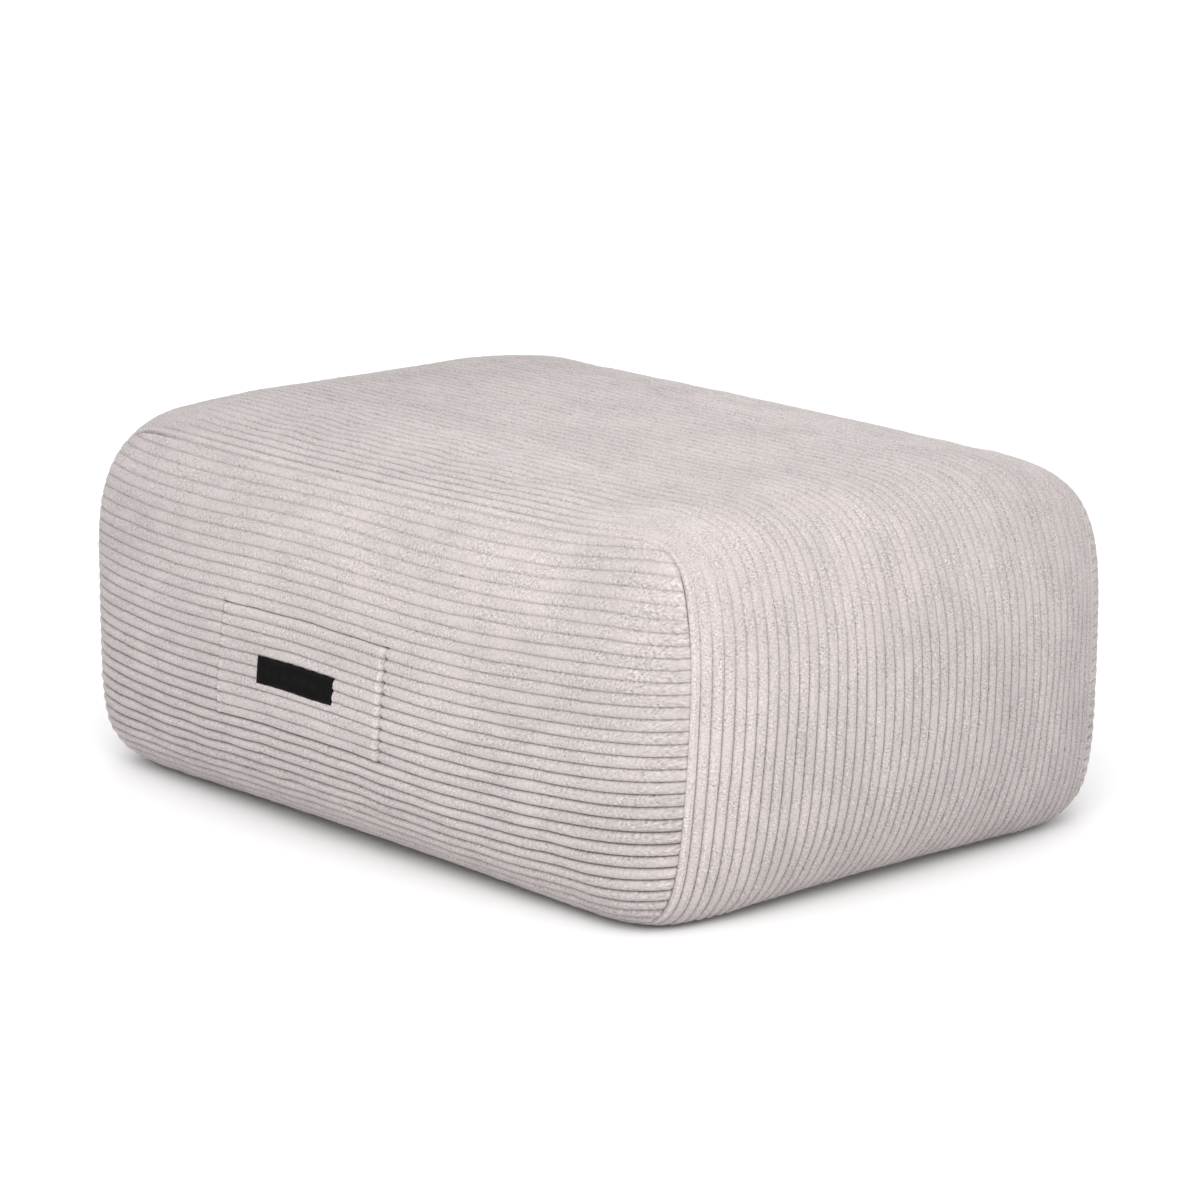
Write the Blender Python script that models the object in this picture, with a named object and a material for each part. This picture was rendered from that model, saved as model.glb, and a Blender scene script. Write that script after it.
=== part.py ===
"""Bean-filled footstool: a rounded cushion block in wide-wale cord, with a patch pocket and a sewn label.

Metres, +Z up, X along the length. The front wall, with the pocket, faces -Y. The base rests on Z = 0.
"""

import bmesh
import bpy
import numpy as np

# Driving dimensions of the filled body.
HALF_LENGTH = 0.3279         # middle to end wall, before the walls bow
HALF_DEPTH = 0.2404          # middle to long wall, before the walls bow
WIDEST_HEIGHT = 0.1497       # height at which the body is widest
CROWN_RISE = 0.1338          # from the widest height up to the crown
UNDERSIDE_DROP = 0.1617      # from the widest height down to the underside, before the floor flattens it
END_BOW = 0.0267             # how far the filling pushes the middle of an end wall out
LONG_BOW = 0.0303            # the same for a long wall
RIDGE_BOW = 0.0126           # how far the upper edges of the long walls bow out with it
END_BOW_TAPER = 0.13         # how much more the end at +X bows than the middle of the two

# How square each direction is: 2 is an ellipse, and more is squarer.
LENGTH_POWER = 17.6
DEPTH_POWER = 6.04
CROWN_POWER = 3.37
UNDERSIDE_POWER = 7.2

# The filled cover doesn't sit quite true: each share is the change from the middle to that end.
DEPTH_TAPER = -0.046         # the depth, towards +X
LENGTH_TAPER = 0.0124        # the length, towards +Y
HEIGHT_TAPER_X = 0.0113      # the height, towards +X
HEIGHT_TAPER_Y = -0.010      # the height, towards +Y
DEPTH_LEAN = -0.024          # the depth, towards the crown
LENGTH_LEAN = 0.014          # the length, towards the crown

# The underside's edges curl up from the floor between the corners.
CURL_END = 0.0080            # at the ends
CURL_SIDE = 0.0050           # along the long sides
CURL_HEIGHT = 0.080          # height over which the curl fades

# The seam between each long side panel and the band that wraps top, ends and underside.
SEAM_DEPTH = 0.2048          # distance of the seam from the middle plane
CHANNEL_DEPTH = 0.003        # how far the stitching draws the cloth in
CHANNEL_REACH = 0.007        # how soon the channel fades to either side

# Trim, given by its (x, z) corners on the front wall: top left, top right, bottom right, bottom left.
GAP = 0.0003
CLOTH = 0.0025               # cord cloth with its pile
LABEL_THICKNESS = 0.001
POCKET_CORNERS = ((-0.1003, 0.1725), (0.0846, 0.1720), (0.0716, 0.0824), (-0.1174, 0.0838))
LABEL_CORNERS = ((-0.0594, 0.1394), (0.0300, 0.1384), (0.0262, 0.1183), (-0.0629, 0.1189))

# Mesh resolution.
LOOP_POINTS = 96
BAND_STATIONS = 13
PANEL_SHARES = (0.985, 0.96, 0.92, 0.86, 0.76, 0.6, 0.4, 0.2)
POCKET_GRID = (14, 7)
LABEL_GRID = (8, 2)


def squareness(height):
    """Share of the section used up at a height: 0 where the body is widest, 1 at its crown and underside."""
    above = np.clip((height - WIDEST_HEIGHT) / CROWN_RISE, 0, 1) ** CROWN_POWER
    below = np.clip((WIDEST_HEIGHT - height) / UNDERSIDE_DROP, 0, 1) ** UNDERSIDE_POWER
    return above + below


def wall_depth(x, height):
    """Distance of a long wall from the middle plane at (x, height)."""
    fullness = 1 - np.abs(x / HALF_LENGTH) ** LENGTH_POWER - squareness(height)
    return HALF_DEPTH * np.clip(fullness, 0, 1) ** (1 / DEPTH_POWER)


def settle(points):
    """Bows the walls outwards and lets the block lean a little, as its filling does."""
    x, y, z = points[..., 0], points[..., 1], points[..., 2]
    along = x / HALF_LENGTH
    across = y / HALF_DEPTH
    upright = 2 * z / (WIDEST_HEIGHT + CROWN_RISE) - 1
    mid_height = 1 - np.clip(np.abs(upright), 0, 1) ** 2
    mid_depth = 1 - np.clip(np.abs(across), 0, 1) ** 2
    mid_length = 1 - np.clip(np.abs(along), 0, 1) ** 2
    end_bow = END_BOW * mid_height * (1 + END_BOW_TAPER * along)
    long_bow = LONG_BOW * mid_height + RIDGE_BOW * np.clip(upright, 0, 1)
    near_floor = np.clip(1 - z / CURL_HEIGHT, 0, 1) ** 2
    end_curl = CURL_END * mid_depth * np.clip((np.abs(along) - 0.6) / 0.4, 0, 1) ** 2
    side_curl = CURL_SIDE * mid_length * np.clip((np.abs(across) - 0.5) / 0.4, 0, 1) ** 2
    return np.stack([
        x * (1 + LENGTH_TAPER * across + LENGTH_LEAN * upright) + along * mid_depth * end_bow,
        y * (1 + DEPTH_TAPER * along + DEPTH_LEAN * upright) + across * mid_length * long_bow,
        z * (1 + HEIGHT_TAPER_X * along + HEIGHT_TAPER_Y * across) + near_floor * (end_curl + side_curl),
    ], axis=-1)


def section_loop(y):
    """Points (x, z), evenly spaced round the section at depth y, cut flat where it meets the floor."""
    fullness = 1 - abs(y / HALF_DEPTH) ** DEPTH_POWER
    turn = np.linspace(0, 1, 2001)
    share = turn ** 8 / (turn ** 8 + (1 - turn) ** 8)
    x = HALF_LENGTH * (fullness * (1 - share)) ** (1 / LENGTH_POWER)
    upper = WIDEST_HEIGHT + CROWN_RISE * (fullness * share) ** (1 / CROWN_POWER)
    lower = WIDEST_HEIGHT - UNDERSIDE_DROP * (fullness * share) ** (1 / UNDERSIDE_POWER)
    lower = np.maximum(lower, 0)
    outline_x = np.concatenate([x, -x[::-1], -x, x[::-1]])
    outline_z = np.concatenate([upper, upper[::-1], lower, lower[::-1]])
    walked = np.concatenate([[0], np.cumsum(np.hypot(np.diff(outline_x), np.diff(outline_z)))])
    stops = np.linspace(0, walked[-1], LOOP_POINTS, endpoint=False)
    return np.interp(stops, walked, outline_x), np.interp(stops, walked, outline_z)


def channel(distance):
    """How far the seam draws the cloth in at a distance from it."""
    return CHANNEL_DEPTH * np.exp(-(distance / CHANNEL_REACH) ** 2)


def band_rings():
    """Section loops from the front seam to the back seam, closest together beside the seams."""
    beside = np.array([0.0, CHANNEL_REACH])
    edge = SEAM_DEPTH - 2.5 * CHANNEL_REACH
    inner = np.linspace(-edge, edge, BAND_STATIONS)
    rings = []
    for y in np.concatenate([-SEAM_DEPTH + beside, inner, SEAM_DEPTH - beside[::-1]]):
        x, z = section_loop(y)
        pull = channel(SEAM_DEPTH - abs(y))
        x = x * (1 - pull / HALF_LENGTH)
        z = z + (WIDEST_HEIGHT - z) * pull / WIDEST_HEIGHT
        rings.append(np.stack([x, np.full(LOOP_POINTS, y), z], axis=-1))
    return rings


def panel_rings(side):
    """Rings that shrink from beside the seam to the middle of a long wall; side is -1 in front, 1 behind."""
    seam_x, seam_z = section_loop(SEAM_DEPTH)
    rings = []
    for share in PANEL_SHARES:
        x = share * seam_x
        z = WIDEST_HEIGHT + share * (seam_z - WIDEST_HEIGHT)
        y = side * (wall_depth(x, z) - channel((1 - share) * HALF_DEPTH))
        rings.append(np.stack([x, y, z], axis=-1))
    return rings


def close_with_fan(mesh, loop, side):
    """Closes the innermost ring of a long wall round a single middle point."""
    hub = np.array([0.0, side * wall_depth(0.0, WIDEST_HEIGHT), WIDEST_HEIGHT])
    centre = mesh.verts.new(settle(hub))
    for k in range(LOOP_POINTS):
        mesh.faces.new((loop[k], loop[(k + 1) % LOOP_POINTS], centre))


def make_object(name, mesh, material):
    """Turns a bmesh into a smooth shaded object whose faces point out."""
    bmesh.ops.recalc_face_normals(mesh, faces=mesh.faces[:])
    data = bpy.data.meshes.new(name)
    mesh.to_mesh(data)
    mesh.free()
    data.shade_smooth()
    data.materials.append(material)
    made = bpy.data.objects.new(name, data)
    bpy.context.scene.collection.objects.link(made)
    return made


def make_filled_body(material):
    """The cushion itself, one filled solid with a crown, bowed walls and two sewn channels."""
    mesh = bmesh.new()
    front = panel_rings(-1)[::-1]
    back = panel_rings(1)
    loops = []
    for ring in front + band_rings() + back:
        loops.append([mesh.verts.new(point) for point in settle(ring)])
    for near, far in zip(loops, loops[1:]):
        for k in range(LOOP_POINTS):
            after = (k + 1) % LOOP_POINTS
            mesh.faces.new((near[k], near[after], far[after], far[k]))
    close_with_fan(mesh, loops[0], -1)
    close_with_fan(mesh, loops[-1], 1)
    return make_object("filled_body", mesh, material)


def wall_point(x, z, lift):
    """The point that stands lift off the front wall, square to it, at (x, z)."""
    step = 0.001

    def on_wall(px, pz):
        return settle(np.stack([px, -wall_depth(px, pz), pz], axis=-1))

    outward = np.cross(on_wall(x + step, z) - on_wall(x - step, z),
                       on_wall(x, z + step) - on_wall(x, z - step))
    outward /= np.linalg.norm(outward, axis=-1, keepdims=True)
    return on_wall(x, z) + outward * lift


def make_patch(name, corners, grid, lift, thickness, material):
    """A sheet that follows the front wall between four corners, standing lift off it."""
    columns, rows = grid
    top_left, top_right, bottom_right, bottom_left = np.array(corners)
    across, down = np.meshgrid(np.linspace(0, 1, columns + 1), np.linspace(0, 1, rows + 1))
    across, down = across[..., None], down[..., None]
    top = top_left + across * (top_right - top_left)
    bottom = bottom_left + across * (bottom_right - bottom_left)
    flat = top + down * (bottom - top)
    mesh = bmesh.new()
    layers = []
    for height in (lift, lift + thickness):
        points = wall_point(flat[..., 0], flat[..., 1], height)
        layers.append([[mesh.verts.new(point) for point in line] for line in points])
    for layer in layers:
        for r in range(rows):
            for c in range(columns):
                mesh.faces.new((layer[r][c], layer[r][c + 1], layer[r + 1][c + 1], layer[r + 1][c]))
    rim = [(0, c) for c in range(columns)] + [(r, columns) for r in range(rows)]
    rim += [(rows, c) for c in range(columns, 0, -1)] + [(r, 0) for r in range(rows, 0, -1)]
    inner, outer = layers
    for (r, c), (r2, c2) in zip(rim, rim[1:] + rim[:1]):
        mesh.faces.new((inner[r][c], inner[r2][c2], outer[r2][c2], outer[r][c]))
    return make_object(name, mesh, material)


def make_material(name, color, roughness):
    """A plain Principled material."""
    material = bpy.data.materials.new(name)
    material.use_nodes = True
    shader = material.node_tree.nodes["Principled BSDF"]
    shader.inputs["Base Color"].default_value = (*color, 1.0)
    shader.inputs["Roughness"].default_value = roughness
    shader.inputs["Metallic"].default_value = 0.0
    return material


def centre_over_origin(objects):
    """Moves all objects together so that the middle of their shared box is over the origin."""
    corners = np.array([vertex.co for made in objects for vertex in made.data.vertices])
    middle = (corners.min(axis=0) + corners.max(axis=0)) / 2
    for made in objects:
        made.location = (-middle[0], -middle[1], 0.0)


def main():
    for old in list(bpy.data.objects):
        bpy.data.objects.remove(old, do_unlink=True)
    cord = make_material("cord_cloth", (0.60, 0.55, 0.54), 0.95)
    black = make_material("label_black", (0.010, 0.011, 0.010), 0.55)
    body = make_filled_body(cord)
    pocket = make_patch("pocket", POCKET_CORNERS, POCKET_GRID, GAP, CLOTH, cord)
    label_lift = GAP + CLOTH + GAP
    label = make_patch("label", LABEL_CORNERS, LABEL_GRID, label_lift, LABEL_THICKNESS, black)
    centre_over_origin([body, pocket, label])


main()
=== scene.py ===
"""Looks of the bean bag footstool: jumbo cord cover, matched patch pocket, black label, stitching.

Metres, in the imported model's frame: X along the length, the side with the pocket faces -Y, +Z up.
"""

import math

import bpy
import numpy as np
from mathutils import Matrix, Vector, kdtree


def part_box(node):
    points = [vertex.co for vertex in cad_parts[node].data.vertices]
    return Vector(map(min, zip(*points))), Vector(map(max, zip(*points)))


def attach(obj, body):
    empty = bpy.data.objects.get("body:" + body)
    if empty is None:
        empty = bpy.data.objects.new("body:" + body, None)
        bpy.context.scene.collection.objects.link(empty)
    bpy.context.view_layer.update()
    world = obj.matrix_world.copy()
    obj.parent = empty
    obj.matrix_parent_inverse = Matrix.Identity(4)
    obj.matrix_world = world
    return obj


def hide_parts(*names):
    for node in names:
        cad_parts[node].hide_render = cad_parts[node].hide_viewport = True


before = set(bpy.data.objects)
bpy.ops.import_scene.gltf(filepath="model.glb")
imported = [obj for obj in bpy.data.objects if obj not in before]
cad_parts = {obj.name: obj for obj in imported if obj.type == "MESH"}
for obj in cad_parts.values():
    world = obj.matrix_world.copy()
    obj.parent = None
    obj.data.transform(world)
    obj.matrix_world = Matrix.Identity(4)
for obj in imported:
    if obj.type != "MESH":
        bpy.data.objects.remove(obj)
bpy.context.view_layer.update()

# ---- form, as in the CAD part
HALF_LENGTH = 0.3279
HALF_DEPTH = 0.2404
WIDEST_HEIGHT = 0.1497
CROWN_RISE = 0.1338
UNDERSIDE_DROP = 0.1617
END_BOW = 0.0267
LONG_BOW = 0.0303
RIDGE_BOW = 0.0126
END_BOW_TAPER = 0.13
LENGTH_POWER = 17.6
DEPTH_POWER = 6.04
CROWN_POWER = 3.37
UNDERSIDE_POWER = 7.2
DEPTH_TAPER = -0.046
LENGTH_TAPER = 0.0124
HEIGHT_TAPER_X = 0.0113
HEIGHT_TAPER_Y = -0.01
DEPTH_LEAN = -0.024
LENGTH_LEAN = 0.014

# The underside's edges curl up from the floor between the corners.
CURL_END, CURL_SIDE = 0.008, 0.005  # at the ends and along the long sides
CURL_HEIGHT = 0.08  # height over which the curl fades

SEAM_DEPTH = 0.2048
CORNER_AT = (0.86, -0.86, 0.84)  # shares of the half sizes: the upper front corner at +X,
CORNER_SPREAD = (0.14, 0.13, 0.22)  # how wide it is,
CORNER_PULL = (0.002, 0.0045, 0.0045)  # and how far its seam is pulled back and up

FORM_MIDDLE = (0.00347, 0.0)  # middle of the settled form's box, which the CAD moves to the origin

body_low, body_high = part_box("filled_body")
BODY_SHIFT = np.array([
    (body_low.x + body_high.x) / 2 - FORM_MIDDLE[0],
    (body_low.y + body_high.y) / 2 - FORM_MIDDLE[1],
    0.0,
])

# ---- cord cloth
PITCH = 0.0087  # from one groove to the next
GROOVE = 0.002  # how deep a groove is
GROOVE_WIDTH = 0.075  # how wide, in pitches
CREST_ROUND = 0.28  # share of a wale's height that is its round crest
WALE_UNEVENNESS = 0.06  # share by which the height of the wales varies
SWAY = 0.0022  # how far a side panel's wales bow up and down along it
SWAY_LENGTH = 0.34
DROOP = 0.004  # how far they droop towards the seam
BAND_SWAY = 0.0009
TUFT_SLANT = 0.45  # how far the tufts lean along a wale
WALE_SAMPLES = (0.0, 0.04, 0.1, 0.2, 0.5, 0.8, 0.9, 0.96)
BAND_SAMPLES = (0.0, 0.045, 0.12, 0.3, 0.7, 0.88, 0.955)
EDGE_SAMPLES = (0.0, 0.05, 0.12, 0.22, 0.35, 0.47, 0.58, 0.69, 0.8, 0.9, 0.96)
BAND_COLUMNS = 284
BAND_WALES = 46  # whole wales between the band's two outermost ones
FIRST_GROOVE = 0.0038  # height of one groove above the widest line of a side panel
EDGE_WALE = 0.8  # width of the band's outermost wales, in pitches
TURN_IN = 0.007  # seam allowance, turned inwards
START_OF_LOOP = 0.745  # where a section loop starts: under the middle of the block
PILE_JITTER = 0.0001  # unevenness of the pile from tuft to tuft

SEAM_PINCH = 0.0018  # how far a seam draws the cloth in
SEAM_REACH = 0.0017  # and how far from it
SEAM_LINE = 0.0015  # half width of the dark line of an open seam
SEAM_EDGE = 0.003  # distance from a seam at which its pile is rubbed
TOPSTITCH = 0.0047  # topstitch line on the band, from the seam
TOPSTITCH_DEPTH, TOPSTITCH_REACH = 0.001, 0.001
TOPSTITCH_LENGTH, TOPSTITCH_GAP = 0.0021, 0.0008
TOPSTITCH_THREAD = 0.00028  # radius

# ---- give of the filled cloth
SIM_FRAMES = 20
SIM_PRESSURE = 4.0
SIM_SHRINK = -0.03  # below 0: the cloth is cut this share longer and wider than the form
SIM_ROWS, SIM_COLUMNS = 27, 53  # of a side panel
SIM_MARGIN = 0.006  # from the ends of the wall to the outermost rows
FINE_BLUR, BROAD_BLUR = 1, 24  # the give kept lies between these, in rounds of blurring
POCKET_HOLDS = 0.85  # share of the give that the pocket's doubled cloth takes away
GIVE_GAIN = 0.42
GIVE_LIMIT = 0.0012  # most that the cloth may stand in or out from the form

# ---- pocket and label, on the front panel
POCKET_TOP = FIRST_GROOVE + 2 * PITCH
POCKET_BASE = FIRST_GROOVE - 8 * PITCH
POCKET_SIDES = ((-0.1174, 0.0716), (-0.1003, 0.0846))  # x of both sides at the base, then the top
POCKET_SIDE_COLUMNS = (-0.003, -0.0012, -0.00045, -0.0001, 0.0001, 0.00045, 0.0012, 0.003)
POCKET_LIFT = 0.0009  # crests of the pocket, above the crests of the panel
POCKET_SINK = 0.0022  # how far the panel gives way under the pocket
POCKET_ROLL = 0.0013  # radius of the pocket's folded edges
CLEAR = 0.0003  # between two pieces of cloth
HEM = 0.93  # hem line under the pocket's mouth, in pitches
POCKET_THREAD = 0.00048  # radius
HOLE_DEPTH = 0.003  # pits where the pocket's sides cross the grooves,
HOLE_REACH = 0.0019  # how far they reach sideways,
HOLE_PHASE = 0.18  # and how far up and down, in pitches
LABEL_MIDDLE = FIRST_GROOVE - 3.17 * PITCH
LABEL_HALF = 0.0112
LABEL_BASE, LABEL_TOP = LABEL_MIDDLE - LABEL_HALF, LABEL_MIDDLE + LABEL_HALF
LABEL_SIDES = ((-0.0629, 0.0262), (-0.0594, 0.03))
LABEL_THICKNESS = 0.0008
LABEL_LIFT = 0.0004  # face of the label, above the crests of the panel
MOTIF_DEPTH = 0.00024  # of the embossed border and lozenges


def clamp(value):
    """The value, kept between 0 and 1."""
    return np.clip(value, 0, 1)


def ramp_between(value, low, high):
    """0 below low, 1 above high, smooth between."""
    share = clamp((value - low) / (high - low))
    return share * share * (3 - 2 * share)


def bell(offset, width):
    """1 where the offset is 0, fading away within about twice the width."""
    return np.exp(-(offset / width) ** 2)


def unit(vectors):
    """Vectors scaled to length 1."""
    return vectors / np.maximum(np.linalg.norm(vectors, axis=-1, keepdims=True), 1e-12)


def squareness(height):
    """Share of the section used up at a height: 0 at the widest line, 1 at crown and underside."""
    above = clamp((height - WIDEST_HEIGHT) / CROWN_RISE) ** CROWN_POWER
    below = clamp((WIDEST_HEIGHT - height) / UNDERSIDE_DROP) ** UNDERSIDE_POWER
    return above + below


def heights_at(share):
    """The heights above and below the widest one where a share of the section is used up."""
    upper = WIDEST_HEIGHT + CROWN_RISE * share ** (1 / CROWN_POWER)
    return upper, WIDEST_HEIGHT - UNDERSIDE_DROP * share ** (1 / UNDERSIDE_POWER)


def fullness_at(depth):
    """Share of the section that is left at a distance from the middle plane."""
    return 1 - abs(depth / HALF_DEPTH) ** DEPTH_POWER


def wall_depth(x, height):
    """Distance of a long wall from the middle plane at (x, height)."""
    fullness = 1 - np.abs(x / HALF_LENGTH) ** LENGTH_POWER - squareness(height)
    return HALF_DEPTH * clamp(fullness) ** (1 / DEPTH_POWER)


def settle(points):
    """Bows the walls outwards, lets the block lean a little, and flattens it on the floor."""
    x, y, z = points[..., 0], points[..., 1], np.maximum(points[..., 2], 0)
    along = x / HALF_LENGTH
    across = y / HALF_DEPTH
    upright = 2 * z / (WIDEST_HEIGHT + CROWN_RISE) - 1
    mid_height = 1 - clamp(np.abs(upright)) ** 2
    mid_depth = 1 - clamp(np.abs(across)) ** 2
    mid_length = 1 - clamp(np.abs(along)) ** 2
    end_bow = END_BOW * mid_height * (1 + END_BOW_TAPER * along)
    long_bow = LONG_BOW * mid_height + RIDGE_BOW * clamp(upright)
    near_floor = clamp(1 - z / CURL_HEIGHT) ** 2
    end_curl = CURL_END * mid_depth * clamp((np.abs(along) - 0.6) / 0.4) ** 2
    side_curl = CURL_SIDE * mid_length * clamp((np.abs(across) - 0.5) / 0.4) ** 2
    tapered_height = z * (1 + HEIGHT_TAPER_X * along + HEIGHT_TAPER_Y * across)
    settled = np.stack([
        x * (1 + LENGTH_TAPER * across + LENGTH_LEAN * upright) + along * mid_depth * end_bow,
        y * (1 + DEPTH_TAPER * along + DEPTH_LEAN * upright) + across * mid_length * long_bow,
        tapered_height + near_floor * (end_curl + side_curl),
    ], axis=-1)
    near_corner = 1.0
    for share, corner, spread in zip((along, across, upright), CORNER_AT, CORNER_SPREAD):
        near_corner = near_corner * bell(share - corner, spread)
    return settled + near_corner[..., None] * np.array(CORNER_PULL) + BODY_SHIFT


def section_loop(y, count):
    """Points (x, z), evenly spaced round the section at depth y, before the floor flattens it."""
    fullness = fullness_at(y)
    turn = np.linspace(0, 1, 3001)
    crowding = 8  # draws the samples together where the outline runs straight
    share = turn ** crowding / (turn ** crowding + (1 - turn) ** crowding)
    x = HALF_LENGTH * (fullness * (1 - share)) ** (1 / LENGTH_POWER)
    upper, lower = heights_at(fullness * share)
    outline_x = np.concatenate([x, -x[::-1], -x, x[::-1]])
    outline_z = np.concatenate([upper, upper[::-1], lower, lower[::-1]])
    walked = walk(np.stack([outline_x, np.maximum(outline_z, 0)], axis=-1))
    stops = np.linspace(0, walked[-1], count, endpoint=False) + walked[-1] * START_OF_LOOP
    stops %= walked[-1]
    return np.interp(stops, walked, outline_x), np.interp(stops, walked, outline_z)


def walk(points):
    """Distance walked down the rows of a line or grid of points."""
    steps = np.linalg.norm(np.diff(points, axis=0), axis=-1)
    return np.cumsum(np.concatenate([np.zeros_like(steps[:1]), steps]), axis=0)


# ---- small helpers
def smooth_field(seed, u, v, wavelength_u, wavelength_v, waves=14):
    """A smooth random field over (u, v), about -1 to 1, with features of the given size."""
    draw = np.random.default_rng(seed)
    total = np.zeros(np.broadcast(u, v).shape)
    for _ in range(waves):
        angle, phase = draw.uniform(0, 2 * math.pi, 2)
        size = draw.uniform(0.6, 1.4)
        way = u * math.cos(angle) / wavelength_u + v * math.sin(angle) / wavelength_v
        total += np.cos(2 * math.pi / size * way + phase)
    return total / math.sqrt(waves) / 1.4


def wale_phase(up):
    """Phase across the wales of a side panel: whole numbers are grooves."""
    return (up - FIRST_GROOVE) / PITCH


def off_groove(phase):
    """Signed distance from the nearest groove, in pitches."""
    return (phase + 0.5) % 1 - 0.5


def wale_height(phase):
    """Height of the cord at a phase across a wale: 0 in the groove, 1 on the crest."""
    from_groove = np.abs(off_groove(phase))
    shoulder = 1 - np.exp(-(from_groove / GROOVE_WIDTH) ** 1.3)
    return (1 - CREST_ROUND) * shoulder + CREST_ROUND * np.sin(math.pi * from_groove)


def between_grooves(phase):
    """0 at a groove, 1 halfway to the next."""
    return np.sin(math.pi * (phase % 1)) ** 0.7


def chevron(along, phase):
    """Distance along a wale, slanted both ways from its crest as the tufts of the pile lie."""
    return along + TUFT_SLANT * PITCH * np.abs(off_groove(phase))


def jitter(seed, shape):
    """Tuft to tuft unevenness."""
    drawn = np.random.default_rng(seed).normal(0, PILE_JITTER, shape)
    return drawn.clip(-2 * PILE_JITTER, 2 * PILE_JITTER)


def grid_normals(points, wrap):
    """Unit normals of a grid of points, from its rows and columns."""
    if wrap:
        padded_grid = np.concatenate([points[:, -1:], points, points[:, :1]], axis=1)
        along = (padded_grid[:, 2:] - padded_grid[:, :-2]) / 2
    else:
        along = np.gradient(points, axis=1)
    across = np.gradient(points, axis=0)
    return unit(np.cross(along, across))


def grid_faces(rows, columns, wrap=False, flip=False):
    """Quads of a grid of vertices, closed round its columns if wrap is set."""
    index = np.arange(rows * columns).reshape(rows, columns)
    if wrap:
        index = np.concatenate([index, index[:, :1]], axis=1)
    corners = (index[:-1, :-1], index[:-1, 1:], index[1:, 1:], index[1:, :-1])
    quads = np.stack([corner.ravel() for corner in corners], axis=1)
    return quads[:, ::-1] if flip else quads


def linked(name, data):
    """A new object in the scene."""
    made = bpy.data.objects.new(name, data)
    bpy.context.scene.collection.objects.link(made)
    return made


def mesh_object(name, points, faces, fields, material):
    """A smooth shaded object from vertices, faces and per-vertex numbers."""
    data = bpy.data.meshes.new(name)
    data.from_pydata(points.reshape(-1, 3).tolist(), [], faces.tolist())
    data.validate()
    for key, values in fields.items():
        layer = data.attributes.new(key, "FLOAT", "POINT")
        layer.data.foreach_set("value", np.ascontiguousarray(values, np.float32).ravel())
    data.shade_smooth()
    data.materials.append(material)
    return linked(name, data)


def cloth_fields(along, across, crest, worn, points):
    """What the cord's material reads at each vertex."""
    fields = {"along": along, "across": across, "crest": crest, "worn": worn, "painted_shade": painted_shade(points)}
    return {key: np.broadcast_to(values, crest.shape) for key, values in fields.items()}


def padded_fields(fields, columns):
    """Per-vertex numbers of a grid, carried on over the rows and columns added round it."""
    return {key: np.pad(values, ((1, 1), columns), mode="edge") for key, values in fields.items()}


def show(piece, nodes):
    """Rides on the only body and stands for the CAD nodes."""
    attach(piece, "root")
    if nodes:
        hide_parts(*nodes)


# ---- cloth simulation
def smoothed(values, wrap, times):
    """A grid of numbers, blurred over its neighbours."""
    for _ in range(times):
        wide = np.pad(values, ((1, 1), (0, 0)), mode="edge")
        wide = np.pad(wide, ((0, 0), (1, 1)), mode="wrap" if wrap else "edge")
        beside = wide[:-2, 1:-1] + wide[2:, 1:-1] + wide[1:-1, :-2] + wide[1:-1, 2:]
        values = (beside + 4 * wide[1:-1, 1:-1]) / 8
    return values


def between_nodes(values, row, column, wrap):
    """Smooth value of a coarse grid at fractional row and column numbers, by cubic splines."""
    rows, columns = values.shape
    row_start, column_start = np.floor(row).astype(int), np.floor(column).astype(int)
    total = 0.0
    for i, row_weight in enumerate(spline_weights(row - row_start)):
        for j, column_weight in enumerate(spline_weights(column - column_start)):
            r = np.clip(row_start + i - 1, 0, rows - 1)
            c = column_start + j - 1
            c = c % columns if wrap else np.clip(c, 0, columns - 1)
            total = total + row_weight * column_weight * values[r, c]
    return total


def spline_weights(f):
    """What the four nodes round a point weigh in a cubic spline, f past the second one."""
    second = (3 * f ** 3 - 6 * f ** 2 + 4) / 6
    third = (-3 * f ** 3 + 3 * f ** 2 + 3 * f + 1) / 6
    return (1 - f) ** 3 / 6, second, third, f ** 3 / 6


def hang_cloth(name, points, wrap):
    """A coarse piece of cloth over its form, held along its seams and pressed outwards."""
    normals = grid_normals(points, wrap)
    inwards = (normals * (points - np.array([0, 0, WIDEST_HEIGHT]))).sum() < 0
    normals = -normals if inwards else normals
    rows, columns = points.shape[:2]
    start = np.random.default_rng(len(name)).normal(0, 0.0004, (rows, columns, 1))
    start[[0, -1]] = 0
    uneven = (points + normals * start).reshape(-1, 3)
    data = bpy.data.meshes.new(name)
    data.from_pydata(uneven.tolist(), [], grid_faces(rows, columns, wrap, inwards).tolist())
    piece = linked(name, data)
    index = np.arange(rows * columns).reshape(rows, columns)
    rim = [index[0], index[-1]] + ([] if wrap else [index[:, 0], index[:, -1]])
    piece.vertex_groups.new(name="held").add(np.concatenate(rim).tolist(), 1.0, "REPLACE")
    cloth = piece.modifiers.new("cloth", "CLOTH")
    settings = {
        "quality": 5, "mass": 0.3, "bending_stiffness": 2.0, "vertex_group_mass": "held",
        "use_pressure": True, "uniform_pressure_force": SIM_PRESSURE, "shrink_min": SIM_SHRINK,
    }
    for key, value in settings.items():
        setattr(cloth.settings, key, value)
    cloth.settings.effector_weights.gravity = 0.0
    return piece, points, normals, wrap


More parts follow.
